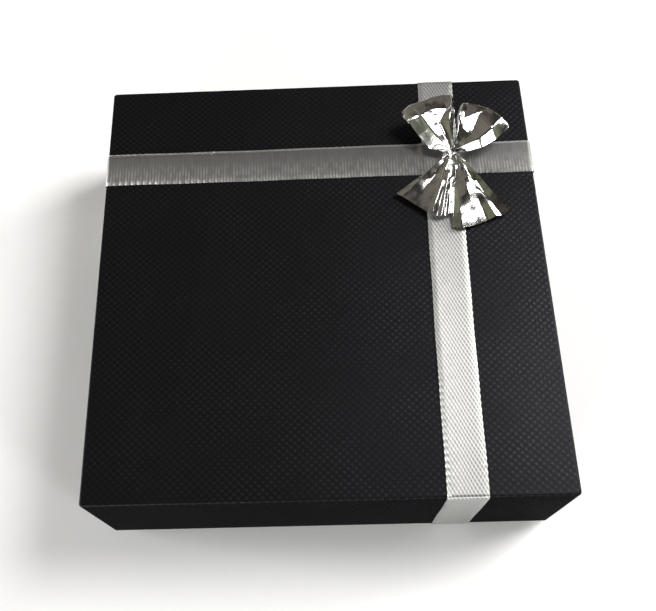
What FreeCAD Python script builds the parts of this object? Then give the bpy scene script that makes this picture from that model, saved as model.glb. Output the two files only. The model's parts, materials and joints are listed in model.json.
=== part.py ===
import FreeCAD, Part

# Square jewelry gift box: a two-piece set-up box with a deep lift-off lid, a foam pad that lifts out
# of the base, two satin ribbons that cross on the lid, and a foil bow on their crossing.
#
# Millimetres. The origin is on the table under the box's middle, +Z is up, -Y is the front.
# Everything is worked out from the cells of the "sizes" sheet.

import math
import os
import re

import Sketcher

SIZES = {
    # case
    "lid_side": 90.0,  # over the wrapped walls
    "case_height": 30.0,  # from the table to the top of the lid's wrap
    "lid_rim": 1.5,  # the lid's rim above the table
    "board": 1.4,  # greyboard
    "wrap": 0.2,  # embossed paper
    "lining": 0.15,  # plain liner paper
    "turn_in": 10.0,  # wrap folded in over a rim
    "stay": 0.12,  # paper tape that ties a corner of the board
    "stay_leg": 12.0,  # its length on each wall
    "slide_gap": 0.95,  # between the base's wrap and the lid's
    "rim_gap": 0.1,  # between the base's rim and the lid's ceiling
    "corner": 0.7,  # radius of an upright corner of the wrap
    "edge": 0.45,  # radius of the wrap's edge round the closed face
    "overrun": 1.0,  # a cutting shape reaches this much past what it cuts
    # insert
    "foam_height": 17.0,
    "facing": 0.6,  # flocked sheet on the foam
    "insert_gap": 0.3,  # round the insert
    "floor_gap": 0.1,  # under the insert
    "insert_corner": 1.0,
    "slit": 1.2,  # width of a cut in the insert
    "slit_depth": 11.0,
    "ring_slit": 26.0,
    "ring_slit_y": -9.0,
    "ear_slit": 9.0,
    "ear_slit_x": 13.0,
    "ear_slit_y": 12.0,
    "chain_slit": 12.0,
    "chain_slit_inset": 11.0,
    # ribbons
    "ribbon": 7.5,
    "ribbon_thick": 0.25,
    "ribbon_tuck": 6.5,  # end turned in behind the lid's rim
    "long_front_x": 24.85,  # middle of the lengthwise ribbon at the front wall
    "long_back_x": 26.4,  # and at the back wall
    "cross_y": 25.1,  # middle of the crosswise ribbon
    "ramp": 1.3,  # the crosswise ribbon climbs over the other in this length
    "bridge_gap": 0.1,  # beside the lengthwise ribbon, under the crosswise one
    # bow
    "bow_x": 28.2,
    "bow_y": 25.2,
    "dot_radius": 1.8,
    "dot_thick": 0.5,
    "foil": 0.3,
    "neck_radius": 1.0,
    "neck_height": 2.2,
    "tie_wire": 0.25,  # radius of the tie's thread
    "tie_gap": 0.02,  # between the thread and the neck
    "tie_height": 0.4,  # its middle above the adhesive dot
    "tail_height": 0.9,  # the tails' root above the adhesive dot
    "left_tail": 14.2,  # length
    "left_tail_end": 6.6,  # half the width of its cut end
    "right_tail": 15.9,
    "right_tail_end": 5.4,
    "tail_drop": 4.5,  # degrees below level
    "hub_radius": 2.2,
    "loop_height": 1.25,  # the loops' root above the adhesive dot
    "loop_radius": 3.3,
    "loop_reach": 9.5,  # from the neck to the middle of a loop's round end
    "loop_end": 5.8,  # half the width of a loop at its round end
    "loop_root": 0.9,  # half its width at the neck
}
LOOP_AZIMUTHS = {"left": 113.5, "right": 46.0}  # degrees from +X
TAIL_AZIMUTHS = {"left": 239.0, "right": 289.5}
CORNERS = {"front_left": (-1, -1), "front_right": (1, -1), "back_left": (-1, 1), "back_right": (1, 1)}

SAME = 1e-3  # lengths closer than this count as equal

BASE_SIDE = "(lid_side - 4 * wrap - 2 * board - 2 * slide_gap)"
BASE_DEPTH = "(case_height - wrap - board - lining - rim_gap)"
LID_DEPTH = "(case_height - lid_rim)"
INSERT_SIDE = f"({BASE_SIDE} - 4 * wrap - 2 * board - 2 * insert_gap)"
INSERT_LOW = "(wrap + board + lining + floor_gap)"
FOAM_TOP = f"({INSERT_LOW} + foam_height)"
DOT_LOW = "(case_height + 2 * ribbon_thick)"
DOT_TOP = f"({DOT_LOW} + dot_thick)"

doc = FreeCAD.newDocument("jewelry_gift_box")
nodes = {}


def make_sheet():
    """The sheet of driving dimensions, one alias to a row."""
    sheet = doc.addObject("Spreadsheet::Sheet", "sizes")
    for row, (alias, value) in enumerate(SIZES.items(), start=1):
        sheet.set(f"A{row}", alias)
        sheet.set(f"B{row}", str(value))
        sheet.setAlias(f"B{row}", alias)
    doc.recompute()
    return sheet


def bind(thing, prop, formula):
    """Bind a property to a formula of the sheet's aliases."""
    known = re.compile(r"\b(" + "|".join(SIZES) + r")\b")
    thing.setExpression(prop, known.sub(r"sizes.\1", formula))


def bind_place(thing, x="0", y="0", z="0"):
    for axis, formula in (("x", x), ("y", y), ("z", z)):
        bind(thing, f"Placement.Base.{axis}", formula)


def turn(thing, yaw, pitch=0):
    """Tip a piece by pitch about Y, then turn it by yaw about Z."""
    thing.Placement.Rotation = FreeCAD.Rotation(yaw, pitch, 0)


def keep(thing, label):
    """Name a finished sub-part and list it as a node."""
    thing.Label = label
    nodes[label] = thing
    return thing


def box(name, x, y, z):
    """A box given by the low and high formula of each side."""
    piece = doc.addObject("Part::Box", name)
    for prop, (low, high) in (("Length", x), ("Width", y), ("Height", z)):
        bind(piece, prop, f"({high}) - ({low})")
    bind_place(piece, x[0], y[0], z[0])
    return piece


def square_box(name, side, z):
    half = (f"-({side}) / 2", f"({side}) / 2")
    return box(name, half, half, z)


def cylinder(name, radius, z, x="0", y="0"):
    piece = doc.addObject("Part::Cylinder", name)
    bind(piece, "Radius", radius)
    bind(piece, "Height", f"({z[1]}) - ({z[0]})")
    bind_place(piece, x, y, z[0])
    return piece


def cut(name, base, tool):
    piece = doc.addObject("Part::Cut", name)
    piece.Base = base
    piece.Tool = tool
    return piece


def common(name, base, tool):
    piece = doc.addObject("Part::Common", name)
    piece.Base = base
    piece.Tool = tool
    return piece


def fuse(name, pieces):
    piece = doc.addObject("Part::MultiFuse", name)
    piece.Shapes = pieces
    piece.Refine = True
    return piece


def origin_plane(body, role):
    return next(p for p in body.Origin.OriginFeatures if p.Role == role)


def new_sketch(body, role, offset="0"):
    sketch = body.newObject("Sketcher::SketchObject", body.Name + "_outline")
    sketch.AttachmentSupport = [(origin_plane(body, role), "")]
    sketch.MapMode = "FlatFace"
    bind(sketch, "AttachmentOffset.Base.z", offset)
    return sketch


def outline(sketch, points):
    """A closed outline of straight lines, each corner held at its two formulas."""
    count = len(points)
    first = len(sketch.Geometry)
    ring = [FreeCAD.Vector(math.cos(math.tau * k / count), math.sin(math.tau * k / count), 0)
            for k in range(count)]  # any outline will do until the corners' formulas move it
    for k in range(count):
        sketch.addGeometry(Part.LineSegment(ring[k], ring[(k + 1) % count]), False)
    for k, point in enumerate(points):
        follows = first + (k + 1) % count
        sketch.addConstraint(Sketcher.Constraint("Coincident", first + k, 2, follows, 1))
        for kind, formula, place in zip(("DistanceX", "DistanceY"), point, ring[k]):
            index = sketch.addConstraint(Sketcher.Constraint(kind, -1, 1, first + k, 1, place))
            bind(sketch, f"Constraints[{index}]", formula)


def pad(body, sketch, length, symmetric=False):
    feature = body.newObject("PartDesign::Pad", body.Name + "_pad")
    feature.Profile = sketch
    feature.Midplane = symmetric
    bind(feature, "Length", length)
    doc.recompute()
    return feature


def round_edges(body, chosen, radius, suffix):
    """Fillet the edges of the body's tip that chosen(edge) picks."""
    tip = body.Tip
    names = [f"Edge{k}" for k, edge in enumerate(tip.Shape.Edges, start=1) if chosen(edge)]
    feature = body.newObject("PartDesign::Fillet", body.Name + suffix)
    feature.Base = (tip, names)
    bind(feature, "Radius", radius)
    doc.recompute()


def is_upright(edge):
    low, high = edge.BoundBox.ZMin, edge.BoundBox.ZMax
    return high - low > SAME and edge.BoundBox.DiagonalLength - (high - low) < SAME


def rounded_block(name, side, z, corner, edge=None, edge_at_top=True):
    """A square block with rounded upright corners and, where edge is given, a rounded closed face."""
    body = doc.addObject("PartDesign::Body", name)
    sketch = new_sketch(body, "XY_Plane", z[0])
    low, high = f"-({side}) / 2", f"({side}) / 2"
    outline(sketch, [(low, low), (high, low), (high, high), (low, high)])
    pad(body, sketch, f"({z[1]}) - ({z[0]})")
    round_edges(body, is_upright, corner, "_corners")
    if edge:
        box_now = body.Shape.BoundBox
        level = box_now.ZMax if edge_at_top else box_now.ZMin
        round_edges(
            body,
            lambda e: abs(e.BoundBox.ZMin - level) < SAME and abs(e.BoundBox.ZMax - level) < SAME,
            edge,
            "_rim",
        )
    return body


def make_case_half(half, side, depth, level, edge_at_top):
    """Board, four corner stays, wrap and lining of the lid or the base.

    level(a) is the height at a distance a from the outside of the closed face, going in.
    """

    def span(near, far):
        ends = (level(near), level(far))
        return ends[::-1] if edge_at_top else ends

    board_side = f"({side} - 2 * wrap)"
    hollow_side = f"({side} - 2 * wrap - 2 * board)"
    closed, ceiling, rim = "wrap", "(wrap + board)", f"({depth} - wrap)"
    turned = f"({depth} - turn_in)"

    block = rounded_block(
        f"{half}_wrap_block", side, span("0", depth), "corner", "edge", edge_at_top
    )
    board_block = rounded_block(
        f"{half}_board_block", board_side, span(closed, rim), "corner - wrap"
    )
    inset = rounded_block(
        f"{half}_stay_inset", f"({board_side} - 2 * stay)", span(closed, rim), "corner - wrap - stay"
    )
    hollow = square_box(f"{half}_board_hollow", hollow_side, span(ceiling, rim))
    tray = cut(f"{half}_tray", board_block, hollow)

    stay_ring = cut(f"{half}_stay_ring", board_block, inset)
    stays = []
    for corner, (right, back) in CORNERS.items():
        ends = []
        for way in (right, back):
            outer = f"{way} * {board_side} / 2"
            inner = f"{way} * ({board_side} / 2 - stay_leg)"
            ends.append((inner, outer) if way > 0 else (outer, inner))
        column = box(f"{half}_stay_column_{corner}", *ends, span(closed, rim))
        stay = common(f"{half}_stay_{corner}", stay_ring, column)
        stays.append(keep(stay, f"{half}_corner_stay_{corner}"))
    keep(cut(f"{half}_board_cut", tray, fuse(f"{half}_stays", stays)), f"{half}_board")

    mouth = square_box(f"{half}_mouth", f"({hollow_side} - 2 * wrap)", span(turned, depth))
    above = square_box(f"{half}_above_turn_in", hollow_side, span(ceiling, turned))
    inside = fuse(f"{half}_wrap_inside", [tray, mouth, above])
    keep(cut(f"{half}_wrap_cut", block, inside), f"{half}_wrap")

    lining_side = f"({hollow_side} - 2 * lining)"
    lined = square_box(f"{half}_lined", lining_side, span("(wrap + board + lining)", turned))
    keep(cut(f"{half}_lining_cut", above, lined), f"{half}_lining")


def slit(name, length, x, y, angle):
    """A cut in the insert, from above its facing down into the foam."""
    tool = doc.addObject("Part::Box", name)
    bind(tool, "Length", length)
    bind(tool, "Width", "slit")
    bind(tool, "Height", "slit_depth + facing")
    along, across = math.cos(math.radians(angle)), math.sin(math.radians(angle))
    bind_place(
        tool,
        f"{x} - {along:.6f} * {length} / 2 + {across:.6f} * slit / 2",
        f"{y} - {across:.6f} * {length} / 2 - {along:.6f} * slit / 2",
        f"{FOAM_TOP} - slit_depth",
    )
    turn(tool, angle)
    return tool


def make_insert():
    """Foam pad with its flocked facing, both cut for a ring, a pair of earrings and a chain."""
    chain_at = f"({INSERT_SIDE} / 2 - chain_slit_inset)"
    slits = fuse("insert_slits", [
        slit("ring_cut", "ring_slit", "0", "ring_slit_y", 0),
        slit("ear_cut_left", "ear_slit", "(-ear_slit_x)", "ear_slit_y", 90),
        slit("ear_cut_right", "ear_slit", "ear_slit_x", "ear_slit_y", 90),
        slit("chain_cut_left", "chain_slit", f"(-{chain_at})", chain_at, 45),
        slit("chain_cut_right", "chain_slit", chain_at, chain_at, -45),
    ])
    foam = rounded_block("foam_block", INSERT_SIDE, (INSERT_LOW, FOAM_TOP), "insert_corner")
    sheet = rounded_block(
        "facing_block", INSERT_SIDE, (FOAM_TOP, f"({FOAM_TOP} + facing)"), "insert_corner"
    )
    keep(cut("foam_cut", foam, slits), "foam_pad")
    keep(cut("facing_cut", sheet, slits), "flocked_facing")


def make_ribbons():
    """Two flat bands round the lid; their ends turn in behind the rim."""
    thick_side = "(lid_side + 2 * ribbon_thick)"
    inner_side = "(lid_side - 4 * wrap - 2 * board)"
    top = "(case_height + ribbon_thick)"
    low = "(lid_rim - ribbon_thick)"
    tuck = "(lid_rim + ribbon_tuck)"
    over_lid = rounded_block(
        "ribbon_outside", thick_side, (low, top), "corner + ribbon_thick", "edge + ribbon_thick"
    )
    lid_block = rounded_block(
        "ribbon_inside", "lid_side", ("lid_rim", "case_height"), "corner", "edge"
    )
    lid_mouth = square_box("ribbon_mouth", inner_side, ("lid_rim", tuck))
    lid_solid = cut("ribbon_lid", lid_block, lid_mouth)
    way_in = square_box("ribbon_way_in", f"({inner_side} - 2 * ribbon_thick)", (low, tuck))
    skin = cut("ribbon_skin", over_lid, fuse("ribbon_core", [lid_solid, way_in]))

    body = doc.addObject("PartDesign::Body", "lengthwise_path")
    sketch = new_sketch(body, "XY_Plane", low)
    reach = f"({thick_side} / 2 + overrun)"
    outline(sketch, [
        ("long_front_x - ribbon / 2", f"-{reach}"),
        ("long_front_x + ribbon / 2", f"-{reach}"),
        ("long_back_x + ribbon / 2", reach),
        ("long_back_x - ribbon / 2", reach),
    ])
    pad(body, sketch, f"{top} - {low}")
    keep(common("lengthwise_band", skin, body), "ribbon_lengthwise")

    across = ("cross_y - ribbon / 2", "cross_y + ribbon / 2")
    path = box("crosswise_path", (f"-{reach}", reach), across, (low, top))
    flat = common("crosswise_flat", skin, path)
    middle = "(long_front_x + (long_back_x - long_front_x) * (cross_y / lid_side + 0.5))"
    half = "(ribbon / 2 + bridge_gap)"
    left, right = f"({middle} - {half})", f"({middle} + {half})"
    foot = (f"({left} - ramp)", f"({right} + ramp)")
    gap = box("crosswise_gap", foot, across, ("case_height", top))
    body = doc.addObject("PartDesign::Body", "crosswise_bridge")
    sketch = new_sketch(body, "XZ_Plane", "-cross_y")
    outline(sketch, [
        (foot[0], "case_height"),
        (left, "case_height + ribbon_thick"),
        (right, "case_height + ribbon_thick"),
        (foot[1], "case_height"),
        (foot[1], "case_height + ribbon_thick"),
        (right, "case_height + 2 * ribbon_thick"),
        (left, "case_height + 2 * ribbon_thick"),
        (foot[0], "case_height + ribbon_thick"),
    ])
    pad(body, sketch, "ribbon", symmetric=True)
    lowered = cut("crosswise_lowered", flat, gap)
    keep(fuse("crosswise_band", [lowered, body]), "ribbon_crosswise")


def teardrop(sketch, reach, radius, apex):
    """A closed outline: two lines from an apex on the X axis, tangent to an arc round the far end."""
    first = len(sketch.Geometry)
    vector = FreeCAD.Vector
    # The lines touch the arc at this angle either side of the axis, seen from the arc's centre.
    centre_x, arc_radius, start_x = SIZES["loop_reach"], SIZES["loop_radius"], SIZES["foil"]
    angle = math.acos(-arc_radius / centre_x)
    touch_x, touch_y = centre_x + arc_radius * math.cos(angle), arc_radius * math.sin(angle)
    circle = Part.Circle(vector(centre_x, 0, 0), vector(0, 0, 1), arc_radius)
    sketch.addGeometry(Part.LineSegment(vector(0, 0, 0), vector(touch_x, touch_y, 0)), False)
    sketch.addGeometry(Part.ArcOfCircle(circle, -angle, angle), False)
    sketch.addGeometry(Part.LineSegment(vector(touch_x, -touch_y, 0), vector(0, 0, 0)), False)
    add = sketch.addConstraint
    make = Sketcher.Constraint
    add(make("Tangent", first, 2, first + 1, 2))
    add(make("Tangent", first + 1, 1, first + 2, 1))
    add(make("Coincident", first + 2, 2, first, 1))
    add(make("PointOnObject", first, 1, -1))
    add(make("PointOnObject", first + 1, 3, -1))
    held = [
        (make("DistanceX", -1, 1, first + 1, 3, centre_x), reach),
        (make("Radius", first + 1, arc_radius), radius),
        (make("DistanceX", -1, 1, first, 1, start_x), apex),
    ]
    for constraint, formula in held:
        bind(sketch, f"Constraints[{add(constraint)}]", formula)


def make_loop(side, azimuth):
    """One hollow bow loop: a teardrop band, narrow at the neck and wide at its round end."""
    body = doc.addObject("PartDesign::Body", f"loop_band_{side}")
    sketch = new_sketch(body, "XZ_Plane")
    teardrop(sketch, "loop_reach", "loop_radius", "0")
    inner_apex = "(foil * loop_reach / loop_radius)"
    teardrop(sketch, "loop_reach", "loop_radius - foil", inner_apex)
    pad(body, sketch, "2 * (loop_end + overrun)", symmetric=True)

    fan = doc.addObject("PartDesign::Body", f"loop_fan_{side}")
    sketch = new_sketch(fan, "XY_Plane", "-2 * loop_radius")
    end = "(loop_reach + loop_radius + overrun)"
    outline(sketch, [("0", "-loop_root"), (end, "-loop_end"), (end, "loop_end"), ("0", "loop_root")])
    pad(fan, sketch, "4 * loop_radius")

    band = common(f"loop_{side}", body, fan)
    rise = math.degrees(math.asin(SIZES["loop_radius"] / SIZES["loop_reach"]))
    turn(band, azimuth, -rise)
    bind_place(band, "bow_x", "bow_y", f"{DOT_TOP} + loop_height")
    return band


def make_tail(side, azimuth):
    """One flat tail: a fan of foil from the hub to its straight cut end."""
    body = doc.addObject("PartDesign::Body", f"tail_{side}")
    sketch = new_sketch(body, "XY_Plane")
    outline(sketch, [
        ("0", "-loop_root"),
        (f"{side}_tail", f"-{side}_tail_end"),
        (f"{side}_tail", f"{side}_tail_end"),
        ("0", "loop_root"),
    ])
    pad(body, sketch, "foil")
    turn(body, azimuth, SIZES["tail_drop"])
    bind_place(body, "bow_x", "bow_y", f"{DOT_TOP} + tail_height")
    return body


def make_bow():
    """Foil bow: two loops on a gathered neck, two tails under them, a thread tie and a sticky dot."""
    at = ("bow_x", "bow_y")
    dot = cylinder("dot", "dot_radius", (DOT_LOW, DOT_TOP), *at)
    keep(dot, "bow_adhesive_dot")

    neck_top = f"({DOT_TOP} + neck_height)"
    neck = cylinder("neck", "neck_radius", (DOT_TOP, neck_top), *at)
    loops = [make_loop(side, azimuth) for side, azimuth in LOOP_AZIMUTHS.items()]
    keep(fuse("loops", [neck, *loops]), "bow_loops")

    low, high = f"({DOT_TOP} + tail_height)", f"({DOT_TOP} + tail_height + foil)"
    hub = cylinder("tail_hub", "hub_radius", (low, high), *at)
    tails = [make_tail(side, azimuth) for side, azimuth in TAIL_AZIMUTHS.items()]
    room = cylinder("neck_room", "neck_radius", (DOT_TOP, neck_top), *at)
    flat = fuse("tails_whole", [hub, *tails])
    keep(cut("tails", flat, room), "bow_tails")

    tie = doc.addObject("Part::Torus", "tie")
    bind(tie, "Radius1", "neck_radius + tie_gap + tie_wire")
    bind(tie, "Radius2", "tie_wire")
    bind_place(tie, "bow_x", "bow_y", f"{DOT_TOP} + tie_height")
    keep(tie, "bow_tie")


def check_and_write():
    """Every object computed, every node one valid solid; then one STEP file for each."""
    doc.recompute()
    for thing in doc.Objects:
        bad = {"Invalid", "Error"} & set(thing.State)
        if bad:
            raise RuntimeError(f"{thing.Name}: {bad}")
    for label, thing in nodes.items():
        shape = thing.Shape
        if shape.isNull() or not shape.isValid() or len(shape.Solids) != 1:
            raise RuntimeError(f"{label}: null, not valid or {len(shape.Solids)} solids")
    os.makedirs("parts", exist_ok=True)
    for label, thing in nodes.items():
        thing.Shape.exportStep(f"parts/{label}.step")
        size = thing.Shape.BoundBox
        print(f"{label:32s} {thing.Shape.Volume:9.1f} mm3  z {size.ZMin:6.2f} to {size.ZMax:6.2f}")


make_sheet()
make_case_half("base", BASE_SIDE, BASE_DEPTH, lambda a: a, False)
make_case_half("lid", "lid_side", LID_DEPTH, lambda a: f"(case_height - {a})", True)
make_insert()
make_ribbons()
make_bow()
check_and_write()
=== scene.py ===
import json
import math

import bpy
import numpy as np
from mathutils import Matrix, Vector


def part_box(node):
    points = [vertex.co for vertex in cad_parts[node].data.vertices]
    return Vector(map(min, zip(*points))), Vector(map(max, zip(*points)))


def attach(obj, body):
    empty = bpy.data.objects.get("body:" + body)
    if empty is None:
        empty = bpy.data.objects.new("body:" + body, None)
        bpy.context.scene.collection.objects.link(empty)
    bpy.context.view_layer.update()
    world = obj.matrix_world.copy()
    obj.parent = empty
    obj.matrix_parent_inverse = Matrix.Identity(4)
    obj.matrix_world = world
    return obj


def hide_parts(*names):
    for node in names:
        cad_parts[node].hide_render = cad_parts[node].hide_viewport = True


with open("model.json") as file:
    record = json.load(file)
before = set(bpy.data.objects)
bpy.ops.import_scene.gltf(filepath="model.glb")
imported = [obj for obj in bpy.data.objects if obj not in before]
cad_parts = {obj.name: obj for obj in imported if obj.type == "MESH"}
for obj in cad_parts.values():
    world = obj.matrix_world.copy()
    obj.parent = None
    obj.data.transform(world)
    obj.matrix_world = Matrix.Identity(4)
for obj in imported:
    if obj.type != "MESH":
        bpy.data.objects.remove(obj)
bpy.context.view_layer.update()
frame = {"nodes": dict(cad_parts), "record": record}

MM = 0.001
TAU = math.tau

# Places and sizes that follow the CAD, in metres.
LID_LOW, LID_HIGH = (np.array(c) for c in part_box("lid_wrap"))
LID_SIDE = LID_HIGH[0] - LID_LOW[0]
LID_TOP = LID_HIGH[2]
CROSS_LOW, CROSS_HIGH = (np.array(c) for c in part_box("ribbon_crosswise"))
LONG_LOW, LONG_HIGH = (np.array(c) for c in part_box("ribbon_lengthwise"))
RIBBON_THICK = CROSS_HIGH[0] - LID_HIGH[0]
RIBBON_WIDE = CROSS_HIGH[1] - CROSS_LOW[1]
DOT_LOW, DOT_HIGH = (np.array(c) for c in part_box("bow_adhesive_dot"))
BOW_AT = np.array([(DOT_LOW[0] + DOT_HIGH[0]) / 2, (DOT_LOW[1] + DOT_HIGH[1]) / 2, DOT_HIGH[2]])

GRAIN_ACROSS, GRAIN_ALONG = 0.68 * MM, 1.28 * MM  # pitch of the ribbon's weave
FLOAT_SHARE, CROSS_SHARE = 0.68, 0.32  # of its slanting floats and of the threads that cross them


# ---------------------------------------------------------------- shader helpers


class Shader:
    """A material's node tree, with short ways to add nodes."""

    def __init__(self, name):
        self.material = bpy.data.materials.new(name)
        self.material.use_nodes = True
        self.tree = self.material.node_tree
        self.bsdf = self.tree.nodes["Principled BSDF"]
        self.coordinates = self.tree.nodes.new("ShaderNodeTexCoord")

    def fill(self, socket, value):
        if isinstance(value, bpy.types.NodeSocket):
            self.tree.links.new(value, socket)
        elif value is not None:
            socket.default_value = value

    def set(self, **values):
        """Values or links for the surface shader's own sockets, as Base_Color=..."""
        for name, value in values.items():
            self.fill(self.bsdf.inputs[name.replace("_", " ")], value)

    def node(self, kind, settings=None, **inputs):
        made = self.tree.nodes.new(kind)
        for name, value in (settings or {}).items():
            setattr(made, name, value)
        for name, value in inputs.items():
            self.fill(made.inputs[name.replace("_", " ")], value)
        return made

    def math(self, operation, a, b=None, c=None):
        made = self.node("ShaderNodeMath", {"operation": operation})
        for socket, value in zip(made.inputs, (a, b, c)):
            self.fill(socket, value)
        return made.outputs[0]

    def add(self, *values):
        total = values[0]
        for value in values[1:]:
            total = self.math("ADD", total, value)
        return total

    def times(self, *values):
        total = values[0]
        for value in values[1:]:
            total = self.math("MULTIPLY", total, value)
        return total

    def wave(self, value, period):
        """cos of the value, with that period in the value's own units."""
        return self.math("COSINE", self.times(value, TAU / period))

    def span(self, value, low, high, to_low=0.0, to_high=1.0):
        """The value mapped smoothly from low..high to to_low..to_high."""
        made = self.node("ShaderNodeMapRange", {"interpolation_type": "SMOOTHSTEP"}, Value=value)
        ends = {"From Min": low, "From Max": high, "To Min": to_low, "To Max": to_high}
        for name, number in ends.items():
            made.inputs[name].default_value = number
        return made.outputs["Result"]

    def split(self, vector):
        made = self.node("ShaderNodeSeparateXYZ", Vector=vector)
        return made.outputs[0], made.outputs[1], made.outputs[2]

    def noise(self, size, detail=3.0, roughness=0.55, stretch=None, seed=0.0):
        """Noise from 0 to 1 whose blobs are about that size in metres."""
        vector = self.coordinates.outputs["Object"]
        if stretch or seed:
            vector = self.node(
                "ShaderNodeMapping", Vector=vector, Location=(seed, seed, seed), Scale=stretch or (1, 1, 1)
            ).outputs[0]
        made = self.node(
            "ShaderNodeTexNoise", Vector=vector, Scale=1.0 / size, Detail=detail, Roughness=roughness
        )
        return made.outputs["Fac"]

    def mix(self, factor, a, b):
        made = self.node("ShaderNodeMix", {"data_type": "RGBA"})
        self.fill(made.inputs[0], factor)
        self.fill(made.inputs[6], a)
        self.fill(made.inputs[7], b)
        return made.outputs[2]

    def bump(self, height, depth, normal=None):
        made = self.node("ShaderNodeBump", Height=height, Distance=depth, Strength=1.0)
        if normal is not None:
            self.fill(made.inputs["Normal"], normal)
        return made.outputs["Normal"]


def rgb(red, green, blue):
    return (red, green, blue, 1.0)


def grey(value):
    return rgb(value, value, value)


# ---------------------------------------------------------------- materials


def wall_plane(shader):
    """Two coordinates in the plane of a box's face, whichever way the face looks."""
    x, y, z = shader.split(shader.coordinates.outputs["Object"])
    nx, _, nz = shader.split(shader.coordinates.outputs["Normal"])
    steep = 0.6  # a normal's share along an axis, above which the face looks that way
    level = shader.math("GREATER_THAN", shader.math("ABSOLUTE", nz), steep)
    side = shader.math("GREATER_THAN", shader.math("ABSOLUTE", nx), steep)

    def choose(factor, no, yes):
        return shader.math("MULTIPLY_ADD", factor, shader.math("SUBTRACT", yes, no), no)

    return choose(side, x, y), choose(level, z, y)


def embossed_paper():
    """Black wrap paper, embossed with a fine plain weave. Its high metallic value with a dark edge tint
    makes it a weak dark mirror that stays dark at a grazing view."""
    thread_across, thread_along = 0.735 * MM, 0.69 * MM
    s = Shader("embossed_paper")
    across, along = wall_plane(s)
    weave = s.times(s.wave(across, 2 * thread_across), s.wave(along, 2 * thread_along))
    uneven = s.noise(1.6 * MM, detail=2.0)
    worn = s.noise(16 * MM, detail=2.0, seed=0.4)
    dot = s.span(weave, -0.25, 0.95)
    dot = s.times(dot, s.span(uneven, 0.15, 0.75, 0.5, 1.0), s.span(worn, 0.3, 0.7, 0.45, 1.0))
    fibre = s.noise(0.25 * MM, detail=4.0)
    fleck = s.span(s.noise(0.8 * MM, detail=5.0, roughness=0.7, seed=0.9), 0.70, 0.78)
    ground = s.mix(s.noise(22 * MM, detail=2.0), rgb(0.0125, 0.0122, 0.0136), rgb(0.0175, 0.0172, 0.0190))
    # Painted highlight: the raised dots are painted lighter than the ground, on top of their real bump and
    # gloss.
    colour = s.mix(dot, ground, rgb(0.031, 0.031, 0.034))
    colour = s.mix(s.times(fleck, 0.5), colour, rgb(0.10, 0.10, 0.10))
    gloss = s.add(s.times(dot, -0.05), s.times(fibre, 0.08), 0.38)
    normal = s.bump(fibre, 0.005 * MM)
    normal = s.bump(dot, 0.024 * MM, normal=normal)
    s.set(Base_Color=colour, Roughness=gloss, Normal=normal)
    s.set(Metallic=0.8, Specular_IOR_Level=0.0, Specular_Tint=grey(0.10))
    return s.material


def greyboard():
    s = Shader("greyboard")
    fleck = s.noise(0.5 * MM, detail=5.0)
    layer = s.noise(3 * MM, detail=2.0, stretch=(1, 1, 9))
    colour = s.mix(fleck, rgb(0.20, 0.185, 0.16), rgb(0.36, 0.34, 0.30))
    colour = s.mix(s.times(layer, 0.4), colour, rgb(0.15, 0.14, 0.12))
    normal = s.bump(fleck, 0.05 * MM)
    s.set(Base_Color=colour, Roughness=s.span(fleck, 0.2, 0.8, 0.82, 0.95), Normal=normal)
    return s.material


def stay_tape():
    s = Shader("stay_tape")
    fibre = s.noise(0.4 * MM, detail=4.0, stretch=(1, 1, 0.2))
    colour = s.mix(fibre, rgb(0.30, 0.19, 0.10), rgb(0.46, 0.33, 0.20))
    s.set(Base_Color=colour, Roughness=s.span(fibre, 0.2, 0.8, 0.55, 0.75))
    s.set(Normal=s.bump(fibre, 0.02 * MM))
    return s.material


def liner_paper():
    s = Shader("liner_paper")
    fibre = s.noise(0.3 * MM, detail=5.0)
    patch = s.noise(12 * MM, detail=2.0)
    colour = s.mix(fibre, rgb(0.012, 0.012, 0.013), rgb(0.024, 0.024, 0.026))
    gloss = s.add(s.times(patch, 0.15), 0.55)
    s.set(Base_Color=colour, Roughness=gloss, Normal=s.bump(fibre, 0.02 * MM))
    return s.material


def foam():
    """Black open-cell foam."""
    s = Shader("foam")
    cells = s.node(
        "ShaderNodeTexVoronoi",
        {"feature": "DISTANCE_TO_EDGE"},
        Vector=s.coordinates.outputs["Object"],
        Scale=1 / (0.55 * MM),
    ).outputs["Distance"]
    wall = s.span(cells, 0.02, 0.28)
    # Painted shade: inside the pores (wall near 1) the foam is painted darker than on the cell walls, on
    # top of their bump.
    colour = s.mix(wall, rgb(0.018, 0.018, 0.019), rgb(0.004, 0.004, 0.0045))
    s.set(Base_Color=colour, Roughness=s.span(wall, 0, 1, 0.75, 0.95), Normal=s.bump(wall, -0.18 * MM))
    s.set(Specular_IOR_Level=0.2)
    return s.material


def flock():
    """Short black flocked pile."""
    s = Shader("flock")
    pile = s.noise(0.12 * MM, detail=3.0)
    nap = s.noise(7 * MM, detail=3.0)
    colour = s.mix(nap, rgb(0.003, 0.003, 0.0033), rgb(0.007, 0.007, 0.008))
    colour = s.mix(s.times(pile, 0.5), colour, rgb(0.011, 0.011, 0.012))
    s.set(Base_Color=colour, Roughness=s.span(nap, 0.3, 0.7, 0.8, 0.95), Normal=s.bump(pile, 0.09 * MM))
    s.set(Sheen_Weight=0.25, Sheen_Roughness=0.35, Sheen_Tint=rgb(0.5, 0.5, 0.55), Specular_IOR_Level=0.1)
    return s.material


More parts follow.
